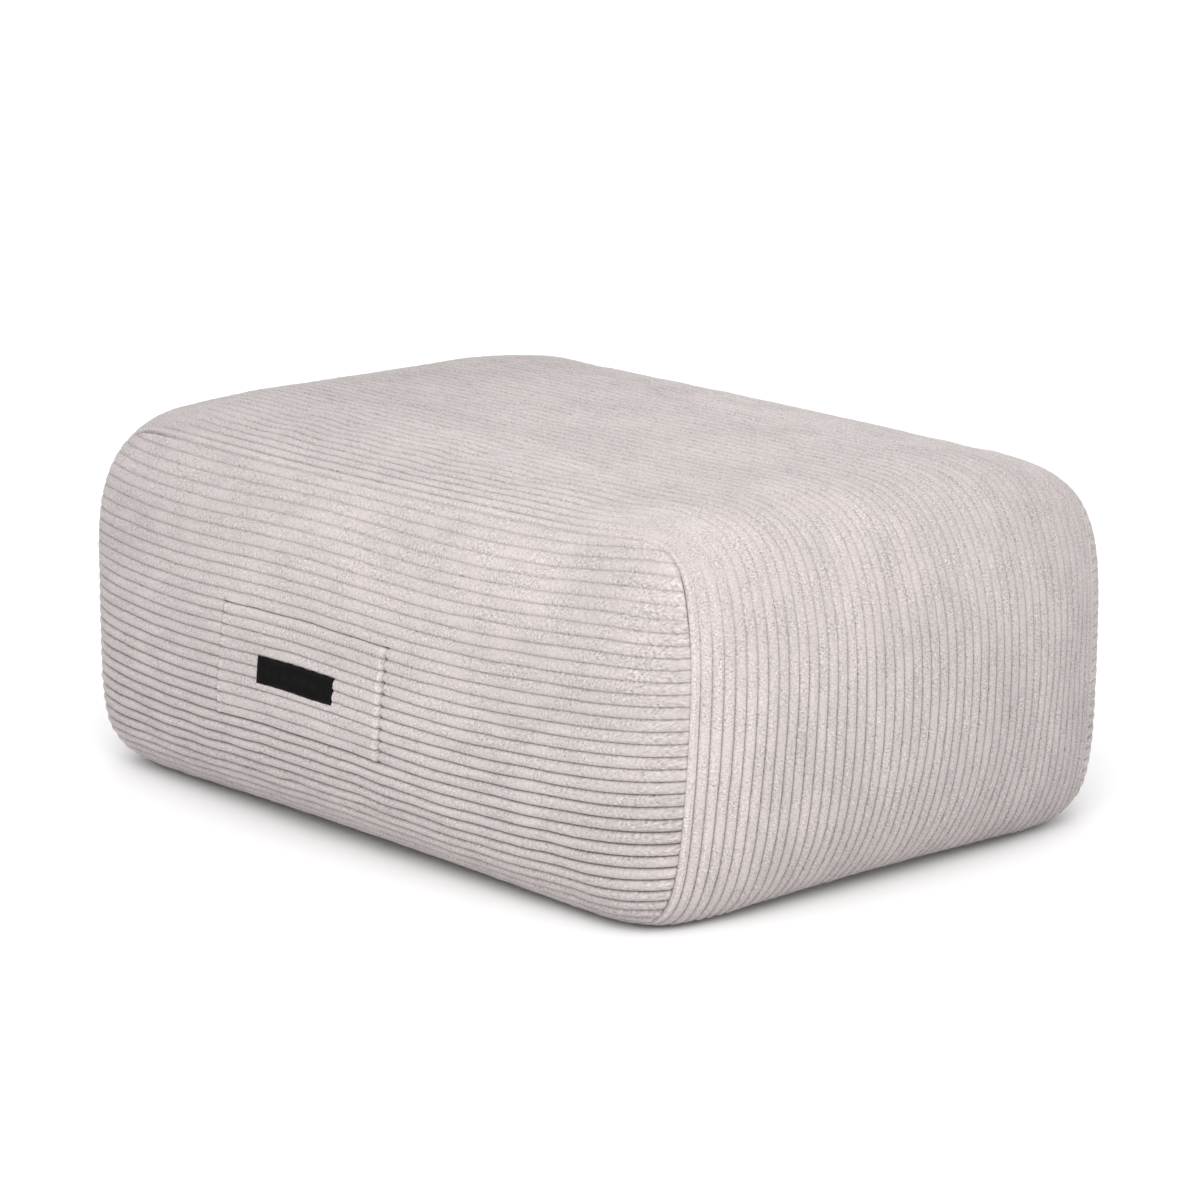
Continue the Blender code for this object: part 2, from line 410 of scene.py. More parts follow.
def simulate_give(grids):
    """How far each cloth stands in or out from its form once settled, overall swelling aside."""
    hung = {name: hang_cloth(f"sim_{name}", points, wrap) for name, (points, wrap) in grids.items()}
    for step in range(1, SIM_FRAMES + 1):
        bpy.context.scene.frame_set(step)
    graph = bpy.context.evaluated_depsgraph_get()
    give = {}
    for name, (piece, points, normals, wrap) in hung.items():
        settled = np.empty(points.size)
        piece.evaluated_get(graph).data.vertices.foreach_get("co", settled)
        moved = ((settled.reshape(points.shape) - points) * normals).sum(axis=-1)
        detail = smoothed(moved, wrap, FINE_BLUR) - smoothed(moved, wrap, BROAD_BLUR)
        detail = np.clip(GIVE_GAIN * detail, -GIVE_LIMIT, GIVE_LIMIT)
        detail[[0, 1, -2, -1]] = 0
        if not wrap:
            detail[:, [0, 1, -2, -1]] = 0
        if name == -1:
            detail = detail * (1 - POCKET_HOLDS * under_pocket())
        give[name] = detail
        data = piece.data
        bpy.data.objects.remove(piece)
        bpy.data.meshes.remove(data)
    bpy.context.scene.frame_set(1)
    return give


# ---- side panels
def wall_heights():
    """The height on a side panel against the distance down it, measured up from its widest line."""
    top, bottom = heights_at(fullness_at(SEAM_DEPTH))
    heights = np.linspace(bottom, top, 6001)
    walked = walk(np.stack([wall_depth(0.0, heights), heights], axis=-1))
    return walked - np.interp(WIDEST_HEIGHT, heights, walked), heights


UP_THE_WALL, HEIGHT_AT = wall_heights()


def wall_points(x, up, side):
    """Points of a long wall at x and a distance up from its widest line; side -1 is the front."""
    height = np.interp(up, UP_THE_WALL, HEIGHT_AT)
    return settle(np.stack([x, side * wall_depth(x, height), height], axis=-1))


def wall_frame(x, up, side):
    """Points of a long wall and the outward normals there."""
    step = 0.0008
    along = wall_points(x + step, up, side) - wall_points(x - step, up, side)
    upward = wall_points(x, up + step, side) - wall_points(x, up - step, side)
    normals = unit(np.cross(along, upward) * -side)
    points = wall_points(x, up, side)
    if GIVE:
        low, high = SIM_SPAN
        inside = np.clip(up, low, high)
        row = (inside - low) / (high - low) * (SIM_ROWS - 1)
        column = (np.clip(x / seam_reach_x(inside), -1, 1) + 1) / 2 * (SIM_COLUMNS - 1)
        points = points + normals * between_nodes(GIVE[side], row, column, wrap=False)[..., None]
    return points, normals


def seam_reach_x(up):
    """How far from the middle the seam is at a distance up the wall."""
    height = np.interp(up, UP_THE_WALL, HEIGHT_AT)
    return HALF_LENGTH * clamp(fullness_at(SEAM_DEPTH) - squareness(height)) ** (1 / LENGTH_POWER)


SIM_SPAN = (UP_THE_WALL[0] + SIM_MARGIN, UP_THE_WALL[-1] - SIM_MARGIN)


def coarse_grid():
    """x and the distance up the wall of a side panel's coarse grid, from seam to seam."""
    up = np.linspace(*SIM_SPAN, SIM_ROWS)[:, None]
    x = seam_reach_x(up) * np.linspace(-1, 1, SIM_COLUMNS)
    return x, np.broadcast_to(up, x.shape)


def under_pocket():
    """Where the doubled cloth of pocket and label keeps the front panel flat, 0 to 1."""
    x, up = coarse_grid()
    pocket_middle, half_width, half_height = -0.016, 0.085, 0.045
    across = np.exp(-((x - pocket_middle) / half_width) ** 4)
    return across * np.exp(-((up - LABEL_MIDDLE) / half_height) ** 4)


def seam_line(side, count=4000):
    """The seam round a side panel."""
    x, z = section_loop(SEAM_DEPTH, count)
    return settle(np.stack([x, np.full(count, side * SEAM_DEPTH), z], axis=-1))


def distance_to(line, points):
    """Distance from each point to the nearest of a line's points."""
    tree = kdtree.KDTree(len(line))
    for k, point in enumerate(line):
        tree.insert(point, k)
    tree.balance()
    found = [tree.find(point)[2] for point in points.reshape(-1, 3)]
    return np.array(found).reshape(points.shape[:-1])


def wale_rows(low, high, samples=WALE_SAMPLES):
    """Distances up the wall from low to high: the samples of each wale, and both ends."""
    first = math.floor((low - FIRST_GROOVE) / PITCH)
    last = math.ceil((high - FIRST_GROOVE) / PITCH)
    rows = [FIRST_GROOVE + (k + f) * PITCH for k in range(first, last + 1) for f in samples]
    apart = 0.0002
    rows = [row for row in rows if low + apart < row < high - apart]
    return np.array([low] + rows + [high])


def wall_sway(x, up, side):
    """How far a wale wanders up or down from its straight line."""
    room = clamp((UP_THE_WALL[-1] - up) / 0.03) * clamp((up - UP_THE_WALL[0]) / 0.03)
    broad = SWAY * np.cos(2 * math.pi * (x + 0.02) / SWAY_LENGTH)
    small = smooth_field(21 + side, x, up, 0.06, 0.035) * 0.0003
    droop = -DROOP * clamp((np.abs(x) - 0.265) / 0.05) ** 2 * clamp(up / 0.07)
    return (broad + small + droop) * room


def cord_relief(x, up, seed):
    """How far the cord stands above its grooves, with the unevenness of its pile."""
    lively = 1 + WALE_UNEVENNESS * smooth_field(seed, x, up, 0.03, 0.012)
    return wale_height(wale_phase(up)) * lively


def sides_at(up, low, high, sides):
    """x of the left and the right side of a patch at a distance up the wall."""
    share = clamp((up - low) / (high - low))
    return [base + share * (top - base) for base, top in zip(*sides)]


def pocket_sides(up):
    """x of the pocket's left and right side."""
    return sides_at(up, POCKET_BASE, POCKET_TOP, POCKET_SIDES)


def label_sides(up):
    """x of the label's left side and of its right one, before the wales push it back."""
    return sides_at(up, LABEL_BASE, LABEL_TOP, LABEL_SIDES)


def wale_frame(x, up, side=-1):
    """Points and normals of a long wall, where its swaying wales lie."""
    return wall_frame(x, up + wall_sway(x, up, side), side)


def inside_pocket(x, up):
    """How far (x, up) is inside the pocket's nearest side, and inside its top or base edge."""
    left, right = pocket_sides(up)
    return np.minimum(x - left, right - x), np.minimum(up - POCKET_BASE, POCKET_TOP - up)


def pocket_hole(x, up):
    """The small pits where the folded sides of the pocket cross a groove, 0 to 1."""
    sideways, upright = inside_pocket(x, up)
    across = bell(off_groove(wale_phase(up)), HOLE_PHASE)
    return bell(sideways, HOLE_REACH) * across * (upright > -0.0006)


def seam_pinch(points, distance):
    """How far the seam draws the cloth in: most low down and where it is pulled open."""
    low = clamp((0.09 - points[..., 2]) / 0.06)
    strength = 0.65 + 1.2 * open_seam(points) + 0.85 * low
    return SEAM_PINCH * strength * bell(distance, SEAM_REACH)


def open_seam(points):
    """Where a seam is pulled open, 0 to 1: the upper edges near the -X end."""
    return clamp((points[..., 2] - 0.22) / 0.03) * ramp_between(-points[..., 0], 0.21, 0.27)


def seam_shade(points, distance):
    """Painted shade along an open seam and along the seam by the upper +X corner, 0 to 1."""
    near_corner = ramp_between(points[..., 0], 0.27, 0.3) * clamp((points[..., 2] - 0.235) / 0.01)
    return np.maximum(0.9 * open_seam(points), 0.7 * near_corner) * bell(distance, SEAM_LINE)


def scallop(up):
    """How far the wales' crests push back the label's right side."""
    return 0.0013 * np.abs(np.sin(math.pi * (up - LABEL_MIDDLE) / LABEL_HALF)) ** 0.8


def inside_label(x, up):
    """How far (x, up) is inside the label's nearest edge; negative outside."""
    left, right = label_sides(up)
    across = np.minimum(x - left, right - scallop(up) - x)
    return np.minimum(across, np.minimum(up - LABEL_BASE, LABEL_TOP - up))


def spread_columns(keys, counts, edges):
    """x for each row: spread between the keys, with the edge offsets round each inner key."""
    pieces = []
    last = len(keys) - 1
    for k in range(last):
        near = keys[k] + (edges[-1] if k > 0 else 0)
        far = keys[k + 1] + (edges[0] if k < last - 1 else 0)
        share = np.linspace(0, 1, counts[k] + 2)[1:-1]
        pieces.append(near[:, None] + share * (far - near)[:, None])
        if k < last - 1:
            pieces.append(keys[k + 1][:, None] + np.array(edges))
    return np.concatenate(pieces, axis=1)


def make_side_panel(name, side, material):
    """One long side of the cover, with its wales running along it."""
    rows = wale_rows(UP_THE_WALL[0], UP_THE_WALL[-1] - 0.0004)
    beside = np.array([0.0, 0.0006, 0.0014, 0.0024, 0.0036, 0.0052, 0.0075])
    reach = seam_reach_x(rows)
    edge = beside[-1]
    left, right = pocket_sides(rows)
    room = reach - edge - 0.02  # keeps the pocket's columns off the seam
    keys = (-reach + edge, np.maximum(left, -room), np.minimum(right, room), reach - edge)
    inner = spread_columns(keys, (92, 60, 92), POCKET_SIDE_COLUMNS)
    x = np.concatenate([-reach[:, None] + beside, inner, reach[:, None] - beside[::-1]], axis=1)
    up = np.broadcast_to(rows[:, None], x.shape)
    points, normals = wale_frame(x, up, side)
    distance = distance_to(seam_line(side), points)
    phase = wale_phase(up)
    crest = cord_relief(x, up, 31 + side)
    high_up = clamp(up / 0.08)
    crowded = 1 + clamp(-up / 0.11) - 0.3 * high_up
    # Deeper grooves low down, shallower high up, with more painted shade low down through the crest
    # field.
    crest = 1 - (1 - crest) * (0.8 + 0.2 * clamp(-up / 0.1) - 0.12 * high_up)
    drop = 1.2 * GROOVE * crowded * (1 - crest) * np.clip(distance / 0.002, 0.5, 1)
    if side > 0:
        drop = drop * np.clip(distance / 0.03, 0.5, 1)
    drop = drop + seam_pinch(points, distance)
    crest = crest * (1 - seam_shade(points, distance))
    drop = drop + jitter(61 + side, x.shape) * clamp(distance / 0.004)
    if side < 0:
        sideways, upright = inside_pocket(x, up)
        sunk = ramp_between(sideways, -0.00045, -0.0001) * ramp_between(upright, 0.0, 0.00035)
        drop = drop * (1 - sunk) + POCKET_SINK * sunk
        hole = pocket_hole(x, up)
        under = bell(up - POCKET_BASE + 0.0003, 0.0008) * (sideways > -0.0005)
        drop = drop + HOLE_DEPTH * hole + 0.002 * under * (1 - sunk)
        # Painted shade: the crest field, and so the colour, goes dark in the pits and under the
        # pocket's base.
        crest = crest * (1 - np.maximum(hole, under))
    shaped = points - normals * drop[..., None]
    tucked = shaped - normals * TURN_IN
    shaped = np.concatenate([tucked[:, :1], shaped, tucked[:, -1:]], axis=1)
    worn = 0.25 * bell(distance - SEAM_EDGE, 0.0016)
    fields = cloth_fields(chevron(x, phase), up, crest, worn, points)
    lean, lift = np.array([0, -0.001 * side, 0]), np.array([0, 0, TURN_IN])
    shaped = np.concatenate([shaped[:1] + lean + lift, shaped, shaped[-1:] + lean - lift])
    fields = padded_fields(fields, (1, 1))
    shaped[..., 2] = np.maximum(shaped[..., 2], 0)
    faces = grid_faces(*shaped.shape[:2], flip=side > 0)
    panel = mesh_object(name, shaped, faces, fields, material)
    show(panel, ["filled_body"])


# ---- pocket and label
def sheet_object(name, outer, inner, fields, material):
    """A closed sheet from an outer and an inner grid of points, joined round their rim."""
    rows, columns = outer.shape[:2]
    faces = grid_faces(rows, columns)
    behind = grid_faces(rows, columns, flip=True) + rows * columns
    index = np.arange(rows * columns).reshape(rows, columns)
    rim = np.concatenate([index[0, :-1], index[:-1, -1], index[-1, :0:-1], index[:0:-1, 0]])
    after = np.roll(rim, -1)
    walls = np.stack([after, rim, rim + rows * columns, after + rows * columns], axis=1)
    points = np.concatenate([outer.reshape(-1, 3), inner.reshape(-1, 3)])
    fields = {key: np.tile(values.ravel(), 2) for key, values in fields.items()}
    return mesh_object(name, points, np.concatenate([faces, behind, walls]), fields, material)


def roll_down(inside, radius):
    """How far a folded edge has rolled down at a distance inside the edge."""
    return radius * (1 - np.sqrt(1 - (1 - clamp(inside / radius)) ** 2))


def pocket_surface(x, up):
    """Height of the pocket's outer face over the panel's crests, and its relief, label aside."""
    sideways, upright = inside_pocket(x, up)
    crest = 1 - 0.85 * (1 - cord_relief(x, up, 71))
    notch = pocket_hole(x, up)
    rise = POCKET_LIFT * ramp_between(np.minimum(sideways, upright * 0.5), -0.001, 0.006)
    hem = 0.0005 * bell(upright - HEM * PITCH, 0.001) * (up > 0)
    fold = np.where(up > 0, 0.25, 1.2) * roll_down(upright, POCKET_ROLL)
    height = rise - 1.1 * GROOVE * (1 - crest) - roll_down(sideways, POCKET_ROLL) - fold
    tuft = bell(sideways - 0.0028, 0.0016) * clamp(1 - (2 * off_groove(wale_phase(up))) ** 2)
    height = height - 0.002 * notch - hem + 0.0009 * tuft
    # Painted shade: the crest field, and so the colour, goes dark in the pits.
    return np.maximum(height, 2 * CLEAR - POCKET_SINK - HOLE_DEPTH * notch), crest * (1 - notch)


def make_pocket(material):
    """The patch pocket, its wales in line with the panel's, its edges folded under."""
    samples = (0.0, 0.03, 0.07, 0.13, 0.21, 0.35, 0.5, 0.65, 0.79, 0.87, 0.93, 0.97)
    rows = wale_rows(POCKET_BASE + 0.00035, POCKET_TOP - 0.00035, samples)
    left, right = pocket_sides(rows)
    fold = np.array([0.0, 0.0001, 0.0003, 0.0006, 0.001, 0.0014, 0.002])
    edges = (-0.0022, -0.0016, -0.0011, -0.0007, -0.0004, -0.0001, 0.0002)
    keys = (left + fold[-1], *label_sides(rows), right - fold[-1])
    inner = spread_columns(keys, (26, 54, 32), edges)
    x = np.concatenate([left[:, None] + fold, inner, right[:, None] - fold[::-1]], axis=1)
    up = np.broadcast_to(rows[:, None], x.shape)
    height, crest = pocket_surface(x, up)
    pressed = ramp_between(inside_label(x, up), -0.0004, 0.0001)
    under_label = LABEL_LIFT - LABEL_THICKNESS - CLEAR
    flat = height * (1 - pressed) + under_label * pressed
    height = np.where(pressed > 0, np.minimum(height, flat), height)
    height = height - jitter(81, x.shape)
    points, normals = wale_frame(x, up)
    outer = points + normals * height[..., None]
    below = CLEAR - POCKET_SINK - HOLE_DEPTH * pocket_hole(x, up)
    inner_face = points + normals * below[..., None]
    phase = wale_phase(up)
    sideways, upright = inside_pocket(x, up)
    low_down = 0.65 + 0.35 * np.clip(-up / 0.04, -1, 1)
    wobble = 0.0007 * np.sin(2 * math.pi * 1.37 * up / PITCH)
    ragged = np.where(x > 0, 1.8, 0.9) * low_down * between_grooves(phase)
    worn = ragged * bell(sideways + wobble - 0.0031, 0.0021)
    # Painted light just below the pocket's mouth.
    worn = worn + 0.3 * bell(upright - 0.002, 0.0012) * (up > 0)
    fields = cloth_fields(chevron(x, phase), up, crest, worn, points)
    pocket = sheet_object("patch_pocket", outer, inner_face, fields, material)
    show(pocket, ["pocket"])
    width, height = POCKET_SIDES[0][1] - POCKET_SIDES[0][0], POCKET_TOP - POCKET_BASE


def label_motif(x_share, up_share):
    """Depth of the plain border and row of lozenges, 0 to 1; lengths here are millimetres."""
    half_long, half_high = 44.6, 11.2
    x, up = np.abs(x_share) * half_long, np.abs(up_share) * half_high
    frame_line = np.minimum(half_long - 2.6 - x, half_high - 2.2 - up)
    border = bell(frame_line, 0.35)
    beads = np.abs((x_share * half_long + 5.5) % 11 - 5.5) / 3.6 + up / 3.0
    lozenge = bell(beads - 0.75, 0.16) * (x < 33.5)
    return np.maximum(border, lozenge)


def make_label(material):
    """The black label, sunk among the pile, with nibbled long edges and a wavy right end."""
    rows = np.linspace(-1, 1, 53)
    columns = np.linspace(-1, 1, 301)
    x_share, up_share = np.meshgrid(columns, rows)
    count = np.arange(len(columns))
    teeth = 0.0011 * np.abs(np.sin(count * 0.55)) * (1 + 0.5 * np.sin(count * 0.137))
    up = LABEL_MIDDLE + up_share * (LABEL_HALF - 0.0001)
    up = up - np.sign(up_share) * teeth[None] * clamp((np.abs(up_share) - 0.9) / 0.1)
    left, right = label_sides(up)
    right = right - scallop(up)
    x = left + 0.0001 + (x_share + 1) / 2 * (right - left - 0.0002)
    edge = np.minimum(LABEL_HALF * (1 - np.abs(up_share)), 0.0446 * (1 - np.abs(x_share)))
    sag = 0.00022 * np.cos(2 * math.pi * (up - LABEL_MIDDLE) / PITCH)
    motif = label_motif(x_share, up_share)
    height = LABEL_LIFT - 0.0003 * bell(edge, 0.0004) - MOTIF_DEPTH * motif
    height = height - 0.00015 + np.minimum(sag, 0.0002) * clamp(edge / 0.002)
    points, normals = wale_frame(x, up)
    outer = points + normals * height[..., None]
    inner = points + normals * (LABEL_LIFT - LABEL_THICKNESS)
    fields = {"along": x, "across": up, "motif": motif}
    label = sheet_object("black_label", outer, inner, fields, material)
    show(label, ["label"])


# ---- stitching
def stitch_tubes(name, starts, ends, lifts, radius, material):
    """Short stitches as slim tubes from start to end, arched along lift, joined in one mesh."""
    steps, around = 4, 5
    share = np.linspace(0, 1, steps + 1)
    swell = np.sin(math.pi * np.clip(share, 0.06, 0.94)) ** 0.5
    across = unit(np.cross(unit(ends - starts), lifts))
    turn = 2 * math.pi * np.arange(around) / around
    arch = radius * (1.6 * np.sin(math.pi * share) - 0.8)
    middle = starts[:, None] + (ends - starts)[:, None] * share[:, None]
    middle = middle + lifts[:, None] * arch[:, None]
    ring = np.cos(turn)[:, None] * across[:, None] + np.sin(turn)[:, None] * lifts[:, None]
    points = middle[:, :, None] + ring[:, None] * (radius * swell)[:, None, None]
    tube = grid_faces(steps + 1, around, wrap=True)
    first = np.arange(len(starts)) * (steps + 1) * around
    quads = first[:, None, None] + tube
    show(mesh_object(name, points, quads.reshape(-1, 4), {}, material), [])


def make_pocket_stitches(material):
    """Short stitches up both sides of the pocket, and its hem line under the mouth."""
    draw = np.random.default_rng(91)
    side_half, hem_length, hem_step, hem_sink = 0.0016, 0.0026, 0.0034, 0.0001
    stitches = []  # x, distance up the wall and sink of both ends
    for which in (0, 1):
        inward = 1 - 2 * which
        for k in range(10):
            for f in (0.3, 0.66):
                up = POCKET_BASE + (k + f) * PITCH
                x = pocket_sides(up)[which] + inward * (0.002 + draw.uniform(-0.0007, 0.0007))
                far_x = x + inward * draw.uniform(-0.0008, 0.0008)
                stitches.append([(x, up - side_half, 0.0), (far_x, up + side_half, 0.0)])
    left, right = POCKET_SIDES[1]
    for x in np.arange(left + 0.004, right - 0.004, hem_step):
        up = POCKET_TOP - HEM * PITCH + draw.uniform(-0.0001, 0.0001)
        stitches.append([(x, up, hem_sink), (x + hem_length, up, hem_sink)])
    x, up, sink = np.moveaxis(np.array(stitches), -1, 0)
    height, _ = pocket_surface(x, up)
    points, normals = wale_frame(x, up)
    points = points + normals * (height - sink)[..., None]
    lifts = unit(normals.mean(axis=1))
    stitch_tubes("pocket_stitches", points[:, 0], points[:, 1], lifts, POCKET_THREAD, material)


# ---- band
def band_base():
    """Sections of the body from the front seam to the back seam, as a grid of settled points."""
    stations = np.linspace(-SEAM_DEPTH, SEAM_DEPTH, 181)
    grid = []
    for y in stations:
        x, z = section_loop(y, BAND_COLUMNS)
        grid.append(np.stack([x, np.full(BAND_COLUMNS, y), z], axis=-1))
    return settle(np.array(grid))


def make_band(base, material):
    """The strip that wraps top, ends and underside, its wales running round the loop."""
    walked = walk(base)
    width = float(walked[-1].mean())
    edge = EDGE_WALE * PITCH
    inner_pitch = (width - 2 * edge) / BAND_WALES
    edges = [(f * edge, max(f, 0.5)) for f in EDGE_SAMPLES]
    inner = [(edge + (k + f) * inner_pitch, f) for k in range(BAND_WALES) for f in BAND_SAMPLES]
    far_edges = [(width - offset, phase) for offset, phase in edges[::-1]]
    across, phase = np.array(edges + inner + [(width - edge, 0.0)] + far_edges).T
    loop = walk(np.concatenate([base[90], base[90][:1]]))[:-1]
    sway_room = clamp(np.minimum(across, width - across) / 0.03)[:, None]
    circle = loop / (loop[-1] + loop[1]) * 2 * math.pi
    radius = (loop[-1] + loop[1]) / 2 / math.pi
    ring_u, ring_v = np.cos(circle) * radius, np.sin(circle) * radius
    sway = smooth_field(41, ring_u[None] + across[:, None], ring_v[None], 0.16, 0.16)
    sway = sway * BAND_SWAY * sway_room
    points = np.empty((len(across), BAND_COLUMNS, 3))
    for c in range(BAND_COLUMNS):
        stops = (across + sway[:, c]) / width * walked[-1, c]
        for axis in range(3):
            points[:, c, axis] = np.interp(stops, walked[:, c], base[:, c, axis])
    normals = grid_normals(points, wrap=True)
    outward = points - points.mean(axis=(0, 1))
    if (normals * outward).sum() < 0:
        normals = -normals
    if GIVE:
        rows, columns = GIVE["band"].shape
        row = np.broadcast_to((across / width * (rows - 1))[:, None], points.shape[:2])
        column = np.broadcast_to(np.arange(BAND_COLUMNS) / BAND_COLUMNS * columns, points.shape[:2])
        points = points + normals * between_nodes(GIVE["band"], row, column, wrap=True)[..., None]
    lively = smooth_field(51, ring_u[None] * 6 + across[:, None] * 3, ring_v[None] * 6, 0.12, 0.12)
    crest = wale_height(phase)[:, None] * (1 + WALE_UNEVENNESS * lively)
    from_seam = np.minimum(across, width - across)
    distance = np.broadcast_to(from_seam[:, None], crest.shape)
    crushed = crushed_pile(points)
    upper_end = clamp((points[..., 2] - 0.15) / 0.08)
    upper_end = upper_end * ramp_between(np.abs(points[..., 0]), 0.24, 0.31)
    crest = 1 - (1 - crest) * (1 - 0.9 * crushed) * (1 - 0.4 * upper_end)
    crowded = 1 + 0.3 * clamp((WIDEST_HEIGHT - points[..., 2]) / 0.11)
    drop = GROOVE * crowded * (1 - crest)
    drop = drop + seam_pinch(points, distance)
    crest = crest * (1 - seam_shade(points, distance))
    drop = drop + TOPSTITCH_DEPTH * bell(distance - TOPSTITCH, TOPSTITCH_REACH)
    drop = drop + jitter(53, crest.shape)
    shaped = points - normals * drop[..., None]
    tucked = shaped - normals * TURN_IN
    shaped = np.concatenate([tucked[:1], shaped, tucked[-1:]])
    shaped[..., 2] = np.maximum(shaped[..., 2], 0)
    # Worn pile beside the seams and on crushed corners, and painted light by the front seam at +X.
    worn = 0.5 * bell(distance - SEAM_EDGE, 0.0012) + 0.1 * crushed + 0.5 * painted_light_patch(points)
    fields = cloth_fields(chevron(loop[None], phase[:, None]), across[:, None], crest, worn, points)
    fields = padded_fields(fields, (0, 0))
    faces = grid_faces(*shaped.shape[:2], wrap=True)
    band = mesh_object("cover_band", shaped, faces, fields, material)
    show(band, ["filled_body"])
    return shaped, across


def on_block(points):
    """x, y and z as the form's constants measure them."""
    return np.moveaxis(points - BODY_SHIFT, -1, 0)


def painted_shade(points):
    """Painted shade, 0 to 1: towards the -X end, at the back of the +X end, by its front seam."""
    x, y, z = on_block(points)
    near_end = ramp_between(-x, 0.0, 0.34) * (0.55 + 0.45 * ramp_between(z, 0.1, 0.24))
    far_side = 0.65 * ramp_between(y, -0.04, 0.19) * ramp_between(x, 0.2, 0.33)
    beside_seam = 0.45 * bell(x - 0.275, 0.05) * (y < -0.2)
    return np.maximum(np.maximum(near_end, far_side), beside_seam)


def painted_light_patch(points):
    """A patch of painted light on the band beside the front seam at the +X end, 0 to 1."""
    x, y, z = on_block(points)
    return bell(y + 0.185, 0.045) * bell(z - 0.115, 0.08) * (x > 0.2)


def crushed_pile(points):
    """How far the pile is rubbed flat, 0 to 1: over the upper corners of the band."""
    x, y, z = on_block(points)
    lengthwise = bell(np.abs(x) - (HALF_LENGTH - 0.055), 0.06)
    crosswise = bell(np.abs(y) - (SEAM_DEPTH - 0.022), 0.036)
    return lengthwise * crosswise * bell(z - (WIDEST_HEIGHT + CROWN_RISE - 0.012), 0.05)


def make_topstitch(name, grid, distances, material):
    """The row of topstitches beside the seam at the start of the band's finished grid."""
    row = 1 + int(np.argmin(np.abs(distances - TOPSTITCH)))
    line = grid[row]
    beside = grid[row + 1] - grid[row - 1]
    line = np.concatenate([line, line[:1]])
    beside = np.concatenate([beside, beside[:1]])
    walked = walk(line)
    stops = np.arange(0, walked[-1] - TOPSTITCH_LENGTH, TOPSTITCH_LENGTH + TOPSTITCH_GAP)

    def at(stop, values):
        return np.stack([np.interp(stop, walked, values[:, k]) for k in range(3)], axis=1)

    starts, ends = at(stops, line), at(stops + TOPSTITCH_LENGTH, line)
    lifts = unit(np.cross(ends - starts, at(stops, beside)))
    outward = starts - line.mean(axis=0)
    lifts *= np.sign((lifts * outward).sum(axis=1, keepdims=True))
    stitch_tubes(name, starts, ends, lifts, TOPSTITCH_THREAD, material)


# ---- materials
class Weave:
    """Short hands for building a material's nodes."""

    def __init__(self, name, color, roughness, specular, sheen):
        self.material = bpy.data.materials.new(name)
        self.material.use_nodes = True
        self.tree = self.material.node_tree
        self.shader = self.tree.nodes["Principled BSDF"]
        plain = {"Base Color": (*color, 1.0), "Roughness": roughness,
                 "Specular IOR Level": specular, "Sheen Weight": sheen, "Sheen Roughness": 0.5}
        for socket, value in plain.items():
            self.shader.inputs[socket].default_value = value
        self.place = None

    def add(self, kind, links=(), inputs=(), **values):
        """A new node with its settings, its plain inputs and its links."""
        made = self.tree.nodes.new(kind)
        for key, value in values.items():
            setattr(made, key, value)
        for socket, value in inputs:
            made.inputs[socket].default_value = value
        for socket, source in links:
            self.tree.links.new(source, made.inputs[socket])
        return made

    def attribute(self, name):
        return self.add("ShaderNodeAttribute", attribute_name=name).outputs["Fac"]

    def over_cloth(self):
        """Places textures by the distance along and across the wales."""
        links = [("X", self.attribute("along")), ("Y", self.attribute("across"))]
        self.place = self.add("ShaderNodeCombineXYZ", links).outputs["Vector"]

    def over_object(self):
        """Places textures by the position on the object."""
        self.place = self.add("ShaderNodeTexCoord").outputs["Object"]

    def mapped(self, scale):
        links, inputs = [("Vector", self.place)], [("Scale", scale)]
        return self.add("ShaderNodeMapping", links, inputs).outputs["Vector"]

    def noise(self, scale, detail=1.0):
        links, inputs = [("Vector", self.mapped(scale))], [("Scale", 1.0), ("Detail", detail)]
        return self.add("ShaderNodeTexNoise", links, inputs).outputs["Fac"]

    def cells(self, scale):
        links, inputs = [("Vector", self.mapped(scale))], [("Scale", 1.0)]
        return self.add("ShaderNodeTexVoronoi", links, inputs).outputs["Distance"]

    def ramp(self, source, *stops):
        made = self.add("ShaderNodeValToRGB", [("Fac", source)])
        for k, (position, color) in enumerate(stops):
            if k > 1:
                made.color_ramp.elements.new(position)
            shade = color if isinstance(color, tuple) else (color, color, color)
            made.color_ramp.elements[k].position = position
            made.color_ramp.elements[k].color = (*shade, 1.0)
        return made.outputs["Color"]

    def multiply(self, first, *others):
        for other in others:
            first = self.add("ShaderNodeMix", [("A", first), ("B", other)], [("Factor", 1.0)],
                             data_type="RGBA", blend_type="MULTIPLY").outputs["Result"]
        return first

    def fade(self, factor, shown):
        """White where the factor is 0, the shown colour where it is 1."""
        links, inputs = [("Factor", factor), ("B", shown)], [("A", (1.0, 1.0, 1.0, 1.0))]
        return self.add("ShaderNodeMix", links, inputs, data_type="RGBA").outputs["Result"]

    def sum(self, first, second):
        made = self.add("ShaderNodeMath", [(0, first), (1, second)], operation="ADD")
        return made.outputs["Value"]

    def finish(self, color, height, strength, distance):
        inputs = [("Strength", strength), ("Distance", distance)]
        bump = self.add("ShaderNodeBump", [("Height", height)], inputs)
        self.tree.links.new(color, self.shader.inputs["Base Color"])
        self.tree.links.new(bump.outputs["Normal"], self.shader.inputs["Normal"])
        return self.material


CORD_COLOR = (0.46, 0.417, 0.411)


